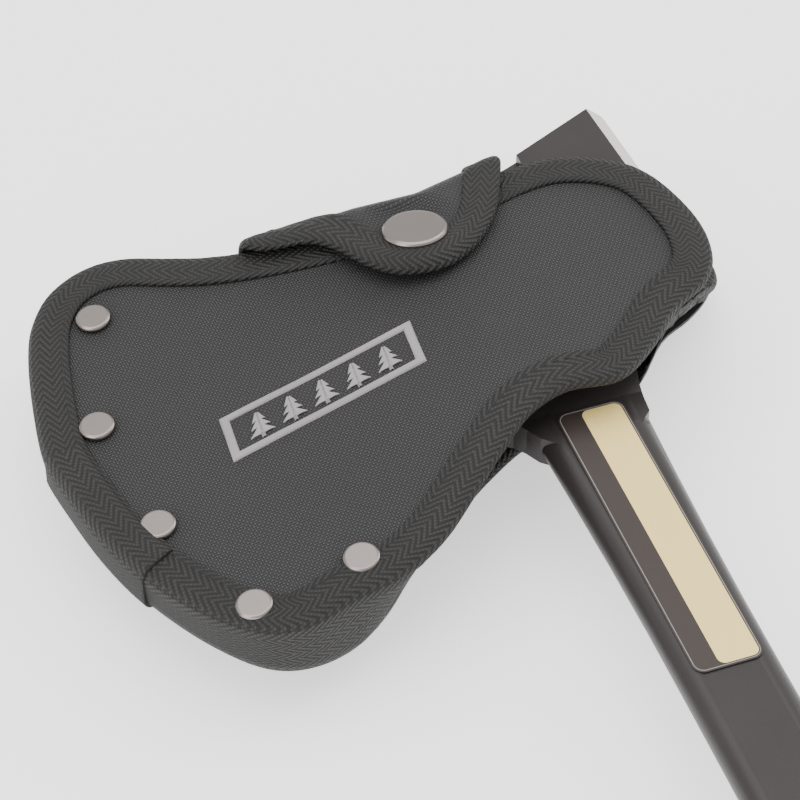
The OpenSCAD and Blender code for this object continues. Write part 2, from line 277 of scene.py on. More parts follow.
def outline(node, up=1):
    """The longest edge loop round a CAD plate's flat side, in the drawing plane."""
    bm = bmesh.new()
    bm.from_mesh(nodes[node].data)
    bmesh.ops.remove_doubles(bm, verts=bm.verts, dist=1e-6)
    facing = {f for f in bm.faces if f.normal.z * up > 0.6}
    rim = {}
    for edge in bm.edges:
        if sum(f in facing for f in edge.link_faces) == 1:
            for v in edge.verts:
                rim.setdefault(v, []).append(edge.other_vert(v))
    loops = []
    while rim:
        start = v = next(iter(rim))
        loop = []
        while v in rim:
            near = rim.pop(v)
            loop.append(flat(v.co).to_2d())
            v = next((n for n in near if n in rim), start)
        loops.append(loop)
    bm.free()
    best = max(loops, key=lambda l: sum((a - b).length for a, b in zip(l, l[1:])))
    turned = sum(a.cross(b) for a, b in zip(best, best[1:] + best[:1]))
    return best if turned > 0 else best[::-1]


def spaced(line, step, closed=True, rounds=2):
    """The same line in even steps, a little smoothed."""
    points = line + line[:1] if closed else line
    lengths = [(b - a).length for a, b in zip(points, points[1:])]
    count = max(int(sum(lengths) / step), 4)
    pace = sum(lengths) / count
    made, i, gone = [], 0, 0.0
    for k in range(count + (0 if closed else 1)):
        want = k * pace
        while i < len(lengths) - 1 and gone + lengths[i] < want:
            gone += lengths[i]
            i += 1
        made.append(points[i].lerp(points[i + 1], min((want - gone) / max(lengths[i], 1e-9), 1)))
    for _ in range(rounds):
        n = len(made)
        made = [made[k] if not closed and k in (0, n - 1) else
                (made[k - 1] + made[k] * 2 + made[(k + 1) % n]) / 4 for k in range(n)]
    return made


def inward(line, closed=True, window=4):
    """For each point of an anticlockwise line, the direction to its left."""
    n = len(line)
    made = []
    for k in range(n):
        if closed:
            ahead = line[(k + window) % n] - line[k - window]
        else:
            ahead = line[min(k + window, n - 1)] - line[max(k - window, 0)]
        made.append(Vector((-ahead.y, ahead.x)).normalized())
    return made


def sweep(name, surface, line, section, put, body, closed=True):
    """Tape laid along a line: section gives (inward, up) points round the tape, put lays them."""
    bm = bmesh.new()
    sides = inward(line, closed)
    n, m = len(line), len(section)
    gone = [0.0]
    for a, b in zip(line, line[1:] + line[:1]):
        gone.append(gone[-1] + (b - a).length)
    round_it = [0.0]
    for a, b in zip(section, section[1:] + section[:1]):
        round_it.append(round_it[-1] + math.dist(a, b))

    def place(column, row):
        deep, up = section[column % m]
        p = line[row % n] + sides[row % n] * deep
        lump = 0.1 * noise(Vector((p.x * 0.55, p.y * 0.55, up))) - 0.05
        return put(p.x, p.y, up + lump)

    grid(bm, m + 1, n + (1 if closed else 0), place,
         lambda column, row: (gone[row] * MM, round_it[column] * MM))
    bmesh.ops.remove_doubles(bm, verts=bm.verts, dist=1e-5)
    if not closed:
        bmesh.ops.holes_fill(bm, edges=[e for e in bm.edges if e.is_boundary])
    return finish_mesh(bm, name, surface, body)


studio()

# ---------------------------------------------------------------- axe forging
# The head and shank are one steel forging, painted black all over, then ground bright on the
# poll's bevel and along the cutting edge. The CAD solid is shown as it is, with its paint here.
POLL_TOP, POLL_FOOT = Vector((45.4, 73.6)), Vector((48.85, 15))
POLL_BEVEL = 4.4
BIT_CENTRE, BIT_R, GRIND_W = Vector((15.3, 0)), 123, 11.5


def forged_paint(shader, place, sheet):
    spot = place.drawn()
    x, y = spot.axis("X"), spot.axis("Y")
    away = (POLL_TOP - POLL_FOOT).orthogonal().normalized()
    if away.x < 0:
        away.negate()
    depth = (x - POLL_FOOT.x) * away.x + (y - POLL_FOOT.y) * away.y
    rough_line = (spot.cloud(0.9) - 0.5) * 0.5
    poll = (depth + rough_line).above(-POLL_BEVEL - 0.15, -POLL_BEVEL + 0.15)
    off_x, off_y = x - BIT_CENTRE.x, y - BIT_CENTRE.y
    reach = (off_x * off_x + off_y * off_y) ** 0.5
    on_bit = (off_x < -20) * (off_y > -70)
    edge = (reach + rough_line).above(BIT_R - GRIND_W, BIT_R - GRIND_W + 0.4) * on_bit
    bare = poll.math("MAXIMUM", edge)
    scratch = spot.vector("MULTIPLY", (0.25, 6.0, 0.25)).cloud(2.0, 4)
    dirt = spot.cloud(0.05, 4)
    painted = dirt.mix((0.022, 0.0185, 0.018, 1), (0.031, 0.0262, 0.0255, 1))
    ground = scratch.mix((0.50, 0.48, 0.46, 1), (0.66, 0.64, 0.61, 1))
    shader.set(Base_Color=bare.mix(painted, ground), Metallic=bare,
               Roughness=bare * (scratch * 0.2 + 0.22 - 0.36) + (dirt * 0.12 + 0.32),
               Coat_Weight=(1 - bare) * 0.08)
    shader.set(Coat_Roughness=0.25, Specular_IOR_Level=0.32)
    peel = spot.cloud(1.6, 3)
    shader.bump(peel * (1 - bare) + scratch * bare * 0.5, 0.05)


painted_steel = material("painted_steel", forged_paint)

# ---------------------------------------------------------------- moulded grip
# Soft vinyl moulded round the lower shank, which holds it: matt, with a fine pebble and rows of
# shallow dimples. The CAD solid is shown as it is.
def grip_skin(shader, place, sheet):
    spot = place.drawn()
    pebble = spot.cloud(2.2, 2)
    wear = spot.cloud(0.03, 3)
    dimple = spot.node("ShaderNodeTexVoronoi", {"Vector": spot, "Scale": 0.22,
                       "Randomness": 0.0})
    field = (spot.axis("Y") * -1).above(360, 372) * (spot.axis("Y") * -1 - 560).math(
        "LESS_THAN", 0)
    shader.set(Base_Color=wear.mix(grey(0.012), grey(0.022, 0.02)), Roughness=pebble * 0.15 + 0.5)
    shader.bump(dimple.above(0.25, 0.45) * field + pebble * 0.12, 0.5)


grip_vinyl = material("grip_vinyl", grip_skin)

# ---------------------------------------------------------------- shank label
# A printed film stuck to the flat of the shank: dark, with a thin pale rule round it, and a plain
# panel of gold foil.
def film(shader, place, sheet):
    grain = place.cloud(900, 2)
    shader.set(Base_Color=grain.mix((0.034, 0.025, 0.021, 1), (0.040, 0.030, 0.026, 1)),
               Roughness=grain * 0.06 + 0.36, Coat_Weight=grain * 0.06 + 0.02,
               Specular_IOR_Level=0.36)


def foil(shader, place, sheet):
    grain = place.vector("MULTIPLY", (1.0, 0.15, 1.0)).cloud(1400, 3)
    shader.set(Base_Color=grain.mix((0.95, 0.69, 0.24, 1), (1.0, 0.80, 0.33, 1)),
               Metallic=grain * 0.1 + 0.3, Roughness=grain * 0.12 + 0.4)


def rule_ink(shader, place, sheet):
    grain = place.cloud(700, 2)
    shader.set(Base_Color=grain.mix(grey(0.20, 0.05), grey(0.26, 0.05)),
               Roughness=grain * 0.05 + 0.45)


label_film = material("label_film", film)
gold_foil = material("gold_foil", foil)
rule_print = material("rule_print", rule_ink)
lo, hi = flat(label_low), flat(label_high)
LABEL_Z = hi.z
PRINT_T = 0.03


def print_shape(name, points, surface, low, high):
    """A flat printed patch between two heights."""
    bm = bmesh.new()
    edges = []
    corners = [bm.verts.new((p[0], p[1], low)) for p in points]
    for a, b in zip(corners, corners[1:] + corners[:1]):
        edges.append(bm.edges.new((a, b)))
    bmesh.ops.triangle_fill(bm, edges=edges, use_beauty=True)
    raised = bmesh.ops.extrude_face_region(bm, geom=bm.faces[:])
    for v in raised["geom"]:
        if isinstance(v, bmesh.types.BMVert):
            v.co.z = high
    return finish_mesh(bm, name, surface, "axe", smooth=False)


def rounded(x0, y0, x1, y1, r, steps=6):
    corners = [((x1 - r, y1 - r), 0), ((x0 + r, y1 - r), 90), ((x0 + r, y0 + r), 180),
               ((x1 - r, y0 + r), 270)]
    return [(cx + r * math.cos(math.radians(a + 90 * k / steps)),
             cy + r * math.sin(math.radians(a + 90 * k / steps)))
            for (cx, cy), a in corners for k in range(steps + 1)]


# A plain straight-edged panel of foil down the poll side, in place of any picture or words.
BAND_LEFT = 0.36    # share of the film's width left dark
band = rounded(lo.x + (hi.x - lo.x) * BAND_LEFT, lo.y + 1.0, hi.x - 1.0, hi.y - 1.0, 2.0)
print_shape("label_band", band, gold_foil, LABEL_Z - 0.01, LABEL_Z + PRINT_T)


def label_rule():
    """The pale rule printed just inside the film's edge."""
    bm = bmesh.new()
    outer = rounded(lo.x + 0.45, lo.y + 0.45, hi.x - 0.45, hi.y - 0.45, 2.6)
    inner = rounded(lo.x + 0.67, lo.y + 0.67, hi.x - 0.67, hi.y - 0.67, 2.4)
    n = len(outer)
    rows = [(outer, LABEL_Z - 0.01), (outer, LABEL_Z + PRINT_T), (inner, LABEL_Z + PRINT_T),
            (inner, LABEL_Z - 0.01)]
    grid(bm, 5, n + 1, lambda c, r: rows[c % 4][0][r % n] + (rows[c % 4][1],))
    bmesh.ops.remove_doubles(bm, verts=bm.verts, dist=1e-6)
    return finish_mesh(bm, "label_rule", rule_print, "axe", smooth=False)


label_rule()

# ---------------------------------------------------------------- woven and taped cloth
# Panels are coarse plain-woven nylon. Every edge is bound in a herringbone tape, and the metal,
# hide, sheet and thread of the sheath are here too.
WEAVE = 0.70        # thread spacing of the panel cloth
WEAVE_TURN = math.radians(7)


def weave_height(spot, pitch, turn):
    """Plain weave: one set of threads stands proud as beads, the other lies between them."""
    x, y = spot.axis("X"), spot.axis("Y")
    stray = (spot.cloud(0.12, 2) - 0.5) * 0.5
    a = (x * math.cos(turn) + y * math.sin(turn)) * (math.pi / pitch) + stray
    b = (y * math.cos(turn) - x * math.sin(turn)) * (math.pi / (pitch * 1.12)) + stray
    crossing = a.math("SINE") * b.math("SINE")
    proud = crossing.math("MAXIMUM", 0.0)
    under = (crossing * -1).math("MAXIMUM", 0.0)
    return proud ** 0.6 + (under ** 0.7) * 0.5


def panel_cloth(shader, place, sheet):
    spot = place.drawn()
    beads = weave_height(spot, WEAVE, WEAVE_TURN)
    fibre = spot.vector("MULTIPLY", (1.0, 4.0, 1.0)).cloud(5.0, 2)
    shade = spot.cloud(0.04, 3)
    # The colour follows the weave's height: the hollows between threads are painted near-black and
    # the lower threads darker than the proud beads, which is painted shade on top of the bump; the
    # fibre streaks and the broad cloud are the cloth's own uneven tone.
    weave_tone_and_painted_shade = (beads.above(0.16, 0.95) * 0.85 + fibre * 0.15) * (shade * 0.3 + 0.85)
    shader.set(Base_Color=weave_tone_and_painted_shade.mix((0.003, 0.0028, 0.003, 1), (0.056, 0.0535, 0.056, 1)),
               Roughness=fibre * 0.15 + 0.50)
    shader.bump(beads + fibre * 0.12, 0.3)


def tape_cloth(shader, place, sheet):
    spot = sheet.scaled(1 / MM)
    along, over = spot.axis("X"), spot.axis("Y")
    zig = (over / 5.6).math("PINGPONG", 0.5) * 5.6
    stray = (place.cloud(350, 2) - 0.5) * 1.2
    rib = ((along * 0.62 + zig * 0.95) * (2 * math.pi / 1.55) + stray).math("SINE") * 0.5 + 0.5
    bead = ((along * 0.95 - zig * 0.62) * (2 * math.pi / 1.2) + stray).math("SINE") * 0.5 + 0.5
    fuzz = place.cloud(2400, 3)
    shade = place.cloud(60, 3)
    cord = rib * 0.45 + rib * bead * 0.55
    # The colour follows the cords' height: the grooves between them are painted near-black, which is
    # painted shade on top of the bump; the fuzz and the broad cloud are the tape's own uneven tone.
    weave_tone_and_painted_shade = (cord * 0.95 + fuzz * 0.4 - 0.2) * (shade * 0.6 + 0.7)
    shader.set(Base_Color=weave_tone_and_painted_shade.mix((0.0012, 0.0011, 0.001, 1), (0.040, 0.0375, 0.035, 1)),
               Roughness=fuzz * 0.15 + 0.66)
    shader.bump(cord + fuzz * 0.4, 0.5)


def black_webbing(shader, place, sheet):
    spot = sheet.scaled(1 / MM)
    along, over = spot.axis("X"), spot.axis("Y")
    rib = (over * (math.pi / 1.3)).math("SINE").math("ABSOLUTE")
    pick = ((along + rib * 0.5) * (math.pi / 0.9)).math("SINE").math("ABSOLUTE")
    fuzz = place.cloud(2200, 3)
    shader.set(Base_Color=(rib * pick).mix(grey(0.008), grey(0.03)),
               Roughness=fuzz * 0.2 + 0.6, Sheen_Weight=0.25)
    shader.bump(rib * 0.7 + pick * 0.4 + fuzz * 0.1, 0.35)


def welt_hide(shader, place, sheet):
    spot = place.drawn()
    grain = spot.node("ShaderNodeTexVoronoi", {"Vector": spot, "Scale": 1.6})
    shade = spot.cloud(0.1, 4)
    shader.set(Base_Color=shade.mix((0.12, 0.055, 0.022, 1), (0.23, 0.12, 0.05, 1)),
               Roughness=shade * 0.2 + 0.6)
    shader.bump(grain.above(0.0, 0.6), 0.15)


def stiff_sheet(shader, place, sheet):
    pebble = place.cloud(1500, 3)
    shader.set(Base_Color=pebble.mix(grey(0.012), grey(0.02)), Roughness=pebble * 0.2 + 0.5)
    shader.bump(pebble, 0.08)


def plated(shader, place, sheet):
    spot = place.drawn()
    grain = spot.cloud(9.0, 4)
    scuff = spot.vector("MULTIPLY", (1.0, 9.0, 1.0)).cloud(1.2, 5)
    shader.set(Base_Color=grain.mix((0.255, 0.225, 0.208, 1), (0.30, 0.267, 0.247, 1)),
               Metallic=1.0, Roughness=scuff * 0.1 + 0.24)
    shader.bump(grain, 0.01)


def satin_thread(shader, place, sheet):
    fibre = place.cloud(3000, 2)
    shader.set(Base_Color=fibre.mix((0.20, 0.183, 0.188, 1), (0.40, 0.37, 0.375, 1)),
               Roughness=fibre * 0.15 + 0.42, Sheen_Weight=0.4)


def sewing_thread(shader, place, sheet):
    fibre = place.cloud(3000, 2)
    shader.set(Base_Color=fibre.mix(grey(0.004), grey(0.010)), Roughness=fibre * 0.1 + 0.6)


panel_fabric = material("panel_fabric", panel_cloth)
binding_tape = material("binding_tape", tape_cloth)
loop_webbing = material("loop_webbing", black_webbing)
welt_leather = material("welt_leather", welt_hide)
stiffener_sheet = material("stiffener_sheet", stiff_sheet)
satin_nickel = material("satin_nickel", plated)
badge_thread = material("badge_thread", satin_thread)
dark_thread = material("dark_thread", sewing_thread)

for node, surface in {
        "axe_forging": painted_steel, "grip": grip_vinyl, "shank_label": label_film,
        "front_stiffener": stiffener_sheet, "back_stiffener": stiffener_sheet,
        "edge_welt": welt_leather, "rivet_caps": satin_nickel, "rivet_posts": satin_nickel,
        "snap_stud": satin_nickel, "stud_post": satin_nickel, "snap_cap": satin_nickel,
        "snap_socket": satin_nickel}.items():
    nodes[node].data.materials.clear()
    nodes[node].data.materials.append(surface)

# ---------------------------------------------------------------- panels
# Two shaped pieces of the coarse cloth over their stiffeners, drawn down a little round each
# rivet and lifted where they bridge from the welt to the cheeks of the head.
RIVETS = []
caps = bmesh.new()
caps.from_mesh(nodes["rivet_caps"].data)
bmesh.ops.remove_doubles(caps, verts=caps.verts, dist=1e-6)
unseen = set(caps.verts)
while unseen:
    island, wave = set(), {unseen.pop()}
    while wave:
        island |= wave
        wave = {e.other_vert(v) for v in wave for e in v.link_edges} - island
    unseen -= island
    RIVETS.append(flat(sum((v.co for v in island), Vector()) / len(island)).to_2d())
caps.free()
snap_low, snap_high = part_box("snap_cap")
SNAP = flat((snap_low + snap_high) / 2).to_2d()
PANEL_T = 1.5
TAPE_W = 11.0


def ripple(x, y):
    """Small slack in the cloth, as height above the stiffener."""
    p = Vector((x, y))
    lift = 0.35 * noise(Vector((x / 26, y / 26, 0)))
    for rivet in RIVETS:
        gap = (p - rivet).length
        lift -= 0.55 * math.exp(-(gap / 6.5) ** 2)
        lift += 0.12 * math.exp(-((gap - 12) / 5) ** 2)
    return lift


back_outline = [Vector(p) for p in spaced(outline("back_panel", -1), 2.0)]
CURL, CURL_W = 9.5, 7.0      # how high the edge rolls up, and how wide a strip rolls
CURL_MIDDLE = Vector((20, 40))


def curled(x, y, z):
    """The back panel's edge rolls up round the underside of the poll where nothing holds it."""
    p = Vector((x, y))
    much = ease(17, 32, x) * ease(66, 46, x) * ease(27, 8, y)
    if much <= 0:
        return x, y, z
    near = min(back_outline, key=lambda q: (q - p).length_squared)
    deep = (near - p).length
    if (near - CURL_MIDDLE).length < (p - CURL_MIDDLE).length:
        deep = -deep
    lift = much * min(max(1 - deep / CURL_W, 0), 1.25) ** 2
    inside = (CURL_MIDDLE - p).normalized() * -1.6 * lift
    return x + inside.x, y + inside.y, z + CURL * lift


def panel_piece(name, node, side, centre):
    """Cloth over one face, from its middle out to its edge."""
    edge = spaced(outline(node, side), 1.6)
    n, rings = len(edge), 56
    middle = Vector(centre)
    bm = bmesh.new()

    def place(column, row):
        p = middle.lerp(edge[column % n], row / rings)
        z = half_at(p.x) - 0.12 + ripple(p.x, p.y) * ease(1.0, 0.8, row / rings)
        return curled(p.x, p.y, -z) if side < 0 else (p.x, p.y, z)

    grid(bm, n + 1, rings + 1, place)
    bmesh.ops.remove_doubles(bm, verts=bm.verts, dist=1e-4)
    bmesh.ops.recalc_face_normals(bm, faces=bm.faces)
    up = sum(f.normal.z * f.calc_area() for f in bm.faces)
    if up * side < 0:
        bmesh.ops.reverse_faces(bm, faces=bm.faces)
    bmesh.ops.solidify(bm, geom=bm.faces[:], thickness=PANEL_T)
    made = finish_mesh(bm, name, panel_fabric, "sheath")
    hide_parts(node)
    return made


front_cloth = panel_piece("front_cloth", "front_panel", 1, (-20, 5))
back_cloth = panel_piece("back_cloth", "back_panel", -1, (-20, 8))

# ---------------------------------------------------------------- binding tapes
# Woven tape folded over every raw edge and sewn through near its inner edge. One run closes both
# panels round the bit, one runs along each panel's free edge, and the seam tape's end is lapped.
STACK = 2.6         # panel and stiffener together


def fold_section(width, over, under=None):
    """Tape folded over one edge: from its inner selvedge on top, round, and back underneath."""
    t = 0.85
    under = width - 1 if under is None else under
    top = [(width, over + 0.1), (width - 0.3, over + t), (width - 1.2, over + t + 0.15),
           (width * 0.66, over + t + 0.02), (width * 0.36, over + t + 0.08),
           (2.4, over + t - 0.02), (0.9, over + t - 0.4), (0.15, over - 0.5)]
    low = -STACK
    foot = [(-0.1, over - 1.5), (0.1, low + 0.4), (0.8, low - 0.5), (2.2, low - t),
            (under - 0.4, low - t), (under, low - t * 0.5), (under - 0.4, low - 0.05),
            (1.6, low + 0.1), (1.0, low + 0.9), (1.0, over - 1.0), (1.5, over - 0.25),
            (2.6, over + 0.05)]
    return top + foot


def seam_run(line, wanted):
    """The stretch of a closed line that lies in the seam, as one open line."""
    flags = [wanted(p) for p in line]
    start = next(i for i in range(len(line)) if flags[i] and not flags[i - 1])
    made = []
    for k in range(len(line)):
        i = (start + k) % len(line)
        if not flags[i]:
            break
        made.append(line[i])
    return made


def in_seam(p):
    return p.x < -92 + max(0, min(34, (-20 - p.y) * 0.8))


front_line = spaced(outline("front_panel", 1), 1.3)
back_line = spaced(outline("back_panel", -1), 1.3)
TAPE_OUT = 1.0      # the tape's own thickness past the panel's edge


def outset(line, by, closed=True):
    return [p - side * by for p, side in zip(line, inward(line, closed))]


def on_face(side):
    def put(x, y, up):
        z = half_at(x) + up
        return curled(x, y, -z) if side < 0 else (x, y, z)
    return put


# the front run starts and ends under the strap
first = min(range(len(front_line)), key=lambda k: (front_line[k] - Vector((-20, 46))).length)
front_line = front_line[first:] + front_line[:first]
front_rim, back_rim = outset(front_line, TAPE_OUT), outset(back_line, TAPE_OUT)
free_back = seam_run(back_rim, lambda p: not in_seam(p))
last = len(free_back) - 1
free_back = [p + side * 2.4 * ease(7, 0, min(k, last - k))
             for k, (p, side) in enumerate(zip(free_back, inward(free_back, False)))]
front_tape = sweep("front_tape", binding_tape, front_rim, fold_section(TAPE_W, 0.0),
                   on_face(1), "sheath")
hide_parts("front_binding")
back_tape = sweep("back_tape", binding_tape, free_back, fold_section(TAPE_W, 0.0),
                  on_face(-1), "sheath", closed=False)
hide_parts("back_binding")


def seam_tape_piece(name, line, node, width, grow, front=True):
    """Tape round both panels: the section is laid for each point, as thick as the sheath there."""
    bm = bmesh.new()
    sides = inward(line, False)
    n = len(line)
    t = 0.9
    far = [min(back_rim, key=lambda q: (q - p).length_squared) for p in line]
    slip = [(b - a) * ease(0.2, 2.0, (b - a).length) for a, b in zip(line, far)]
    for _ in range(6):
        slip = [slip[0]] + [(slip[k - 1] + slip[k] * 2 + slip[k + 1]) / 4
                            for k in range(1, n - 1)] + [slip[-1]]
    shape = [(width, 0.06), (width - 0.3, t - 0.15), (width - 1.2, t), (width * 0.6, t - 0.05),
             (width * 0.35, t + 0.05), (3.2, t - 0.05), (1.8, t - 0.6), (0.8, t - 1.7),
             (0.25, t - 3.4)]
    wall = [(0.1, -0.7), (-0.12, -1.3), (-0.15, -3.6)]
    ring = [(d, u, 1) for d, u in (shape if front else wall)]
    ring += [(d, u, -1) for d, u in shape[::-1]]
    outer = len(ring)
    ring += [(width - 0.6, -0.1, -1), (2.6, -0.2, -1), (1.3, -2.0, -1), (1.3, -2.6, 1)]
    ring += [(2.6, -0.2, 1), (width - 0.6, -0.1, 1)] if front else [(0.6, -1.2, 1)]
    m = len(ring)
    gone = [0.0]
    for a, b in zip(line, line[1:]):
        gone.append(gone[-1] + (b - a).length)
    lengths = [0.0]
    for (d, u, f), (d2, u2, f2) in zip(ring, ring[1:] + ring[:1]):
        lengths.append(lengths[-1] + (math.dist((d, u), (d2, u2)) if f == f2 else 16))

    def place(column, row):
        deep, up, face = ring[column % m]
        end = 0 if front else 1.6 * ease(8, 0, n - 1 - row)
        p = line[row] + sides[row] * (deep - grow + end)
        if face < 0:
            p = p + slip[row]
        h = half_at(p.x) + up + (grow if column % m < outer else grow * 0.7)
        return p.x, p.y, face * max(h, 0.4)

    grid(bm, m + 1, n, place, lambda c, r: (gone[r] * MM, lengths[c] * MM))
    bmesh.ops.remove_doubles(bm, verts=bm.verts, dist=1e-5)
    bmesh.ops.holes_fill(bm, edges=[e for e in bm.edges if e.is_boundary])
    made = finish_mesh(bm, name, binding_tape, "sheath")
    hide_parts(node)
    return made


seam_line = seam_run(front_rim, in_seam)
seam_tape_piece("seam_tape", seam_line, "seam_binding", TAPE_W, 0.0, front=False)
lap_low, lap_high = (flat(c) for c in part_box("binding_lap"))
lap_line = [p for p in seam_line if lap_low.y + 1 < p.y < lap_high.y - 1 and p.x < -110]
seam_tape_piece("tape_lap", lap_line, "binding_lap", TAPE_W - 0.5, 0.85)

# ---------------------------------------------------------------- snap strap
# One strip of panel cloth sewn to the back panel, folded over the sheath's top edge and snapped
# to its front, with the same tape bound wide round its border. Laid out flat first: x along the
# sheath, v along the strap, v = 0 where it turns over the top edge.
tab_line = outline("strap_tab", 1)
OUT_Z = flat(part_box("strap_tab")[1]).z
FOLD_Y, RISE_X, RISE = 45.4, -19.0, math.tan(math.radians(14))
LEFT_X, RIGHT_X = -69.4, 7.9
BEND = [(0, 0), (1.4, -0.3), (3.0, -1.3), (4.6, -3.0), (5.7, -5.4), (6.2, -8.2)]
DOWN = 2 * (OUT_Z - 8.2)


def fold_profile():
    """Points over the fold as (how far along, out past the turn, below the front face)."""
    over = [(0.0, 0.0, 0.0)]
    last = BEND[0]
    for y, z in BEND[1:]:
        over.append((over[-1][0] + math.dist(last, (y, z)), y, z))
        last = (y, z)
    over.append((over[-1][0] + DOWN, 6.2, -8.2 - DOWN))
    for (y, z), (y2, z2) in zip(BEND[::-1], BEND[-2::-1]):
        over.append((over[-1][0] + math.dist((y, z), (y2, z2)), y2, -2 * OUT_Z - z2))
    return over


OVER = fold_profile()
ROUND_TOP = OVER[-1][0]


def turn_line(x):
    return FOLD_Y + max(0, x - RISE_X) * RISE


def strap_at(x, v):
    """Where a spot of the flat strap lies, and which way its outer face looks."""
    lean_in = max(0, -37 - x) * math.tan(LEAN) * 0.9
    y0 = turn_line(x)
    if v <= 0:
        return Vector((x, y0 + v, OUT_Z - lean_in)), Vector((0, 0, 1))
    if v >= ROUND_TOP:
        return Vector((x, y0 - (v - ROUND_TOP), -OUT_Z + lean_in)), Vector((0, 0, -1))
    for (a, y, z), (b, y2, z2) in zip(OVER, OVER[1:]):
        if v <= b:
            t = (v - a) / (b - a)
            way = Vector((0, y2 - y, z2 - z)).normalized()
            up = OUT_Z + z + (z2 - z) * t
            return (Vector((x, y0 + y + (y2 - y) * t, up * (1 - lean_in / OUT_Z))),
                    Vector((0, -way.z, way.y)))


TILT = math.tan(math.radians(12))     # the snap cap's lean toward the fold


def strap_put(x, v, up):
    """A spot of the flat strap in place, its cloth pulled over with the cap."""
    spot, out = strap_at(x, v)
    if v <= 0:
        away = (spot.to_2d() - SNAP).length
        spot.z -= (spot.y - SNAP.y) * TILT * ease(17, 9.5, away)
    return spot + out * up


ANCHOR_END = ROUND_TOP + 9.0
tab_edge = [p for p in spaced(tab_line, 0.8) if p.y < 44.6]
start = min(range(len(tab_edge)), key=lambda k: (tab_edge[k] - Vector((LEFT_X, 45))).length)
tab_edge = tab_edge[start:] + tab_edge[:start]
flat_edge = [Vector((p.x, p.y - turn_line(p.x))) for p in tab_edge]
border = [Vector((LEFT_X, v)) for v in (ANCHOR_END, ROUND_TOP, ROUND_TOP * 0.5, 0.5)]
border += flat_edge + [Vector((RIGHT_X, v)) for v in (0.5, ROUND_TOP * 0.5, ROUND_TOP, ANCHOR_END)]
border = spaced(border, 1.0, closed=False, rounds=6)
WIDE = 11.2
strap_section = [(WIDE, -0.1), (WIDE - 0.3, 0.5), (WIDE - 1.3, 0.68), (WIDE * 0.7, 0.55),
                 (WIDE * 0.45, 0.66), (3.2, 0.6), (1.7, 0.4), (0.6, -0.1), (0.1, -0.9),
                 (0.1, -1.5), (0.7, -2.05), (2.0, -2.15), (3.4, -2.15), (3.4, -1.9),
                 (1.5, -1.8), (0.95, -1.4), (0.95, -0.9), (1.6, -0.35), (3.2, -0.15)]
strap_tape = sweep("strap_tape", binding_tape, border, strap_section, strap_put, None,
                   closed=False)
for node in ("tab_binding", "bridge_binding"):
    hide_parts(node)


def crossing_x(v, left):
    """Where the strap's border crosses a line across it."""
    hits = [a.x + (b.x - a.x) * (v - a.y) / (b.y - a.y)
            for a, b in zip(border, border[1:]) if min(a.y, b.y) <= v < max(a.y, b.y)]
    return min(hits) if left else max(hits)


def strap_piece():
    tip = min(p.y for p in border) + 3.0
    rows, columns = 90, 64
    bm = bmesh.new()

    def place(column, row):
        v = tip + (ANCHOR_END - 0.5 - tip) * row / (rows - 1)
        a, b = crossing_x(v, True) + 1.4, crossing_x(v, False) - 1.4
        x = a + (b - a) * column / (columns - 1)
        return strap_put(x, v, -0.3)

    grid(bm, columns, rows, place)
    bmesh.ops.recalc_face_normals(bm, faces=bm.faces)
    lead = min(bm.faces, key=lambda f: f.calc_center_median().y)
    if lead.normal.z < 0:
        bmesh.ops.reverse_faces(bm, faces=bm.faces)
    bmesh.ops.solidify(bm, geom=bm.faces[:], thickness=1.3)
    return finish_mesh(bm, "strap_cloth", panel_fabric)


strap_cloth = strap_piece()
for node in ("strap_tab", "strap_bridge", "strap_anchor"):
    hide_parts(node)
for piece in (strap_cloth, strap_tape):
    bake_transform(piece)


# ---------------------------------------------------------------- stitched badge
# A plain frame with five trees in pale satin stitch, sewn through the front panel: every thread is
# its own low arch across the shape, laid side by side, so the bars and boughs stand up.
BADGE = Vector((-65, -8.3))
BADGE_TURN = math.radians(12)


def badge_place(x, y, up):
    spot = BADGE + Matrix.Rotation(BADGE_TURN, 2) @ Vector((x, y))
    return Vector((spot.x, spot.y, half_at(spot.x) - 0.1 + ripple(spot.x, spot.y) + up))


def strand(bm, a, b, thick, height, put, steps=6, sides=5):
    """One thread arched from a to b."""
    way = (b - a).normalized()
    across = Vector((-way.y, way.x))

    def place(column, row):
        t = row / steps
        turn = 2 * math.pi * column / sides
        p = a.lerp(b, t) + across * (math.cos(turn) * thick / 2)
        arch = height * (1 - (2 * t - 1) ** 4)
        return put(p.x, p.y, arch - thick * 0.4 + math.sin(turn) * thick / 2)

    grid(bm, sides + 1, steps + 1, place)


def satin(bm, side_a, side_b, pitch=0.42, height=0.55):
    """Threads laid side by side between two edges of a shape."""
    longest = max((side_a[1] - side_a[0]).length, (side_b[1] - side_b[0]).length)
    count = max(int(longest / pitch), 2)
    for k in range(count + 1):
        t = k / count
        a, b = side_a[0].lerp(side_a[1], t), side_b[0].lerp(side_b[1], t)
        if (a - b).length > 0.5:
            strand(bm, a, b, 0.5, height, badge_place)


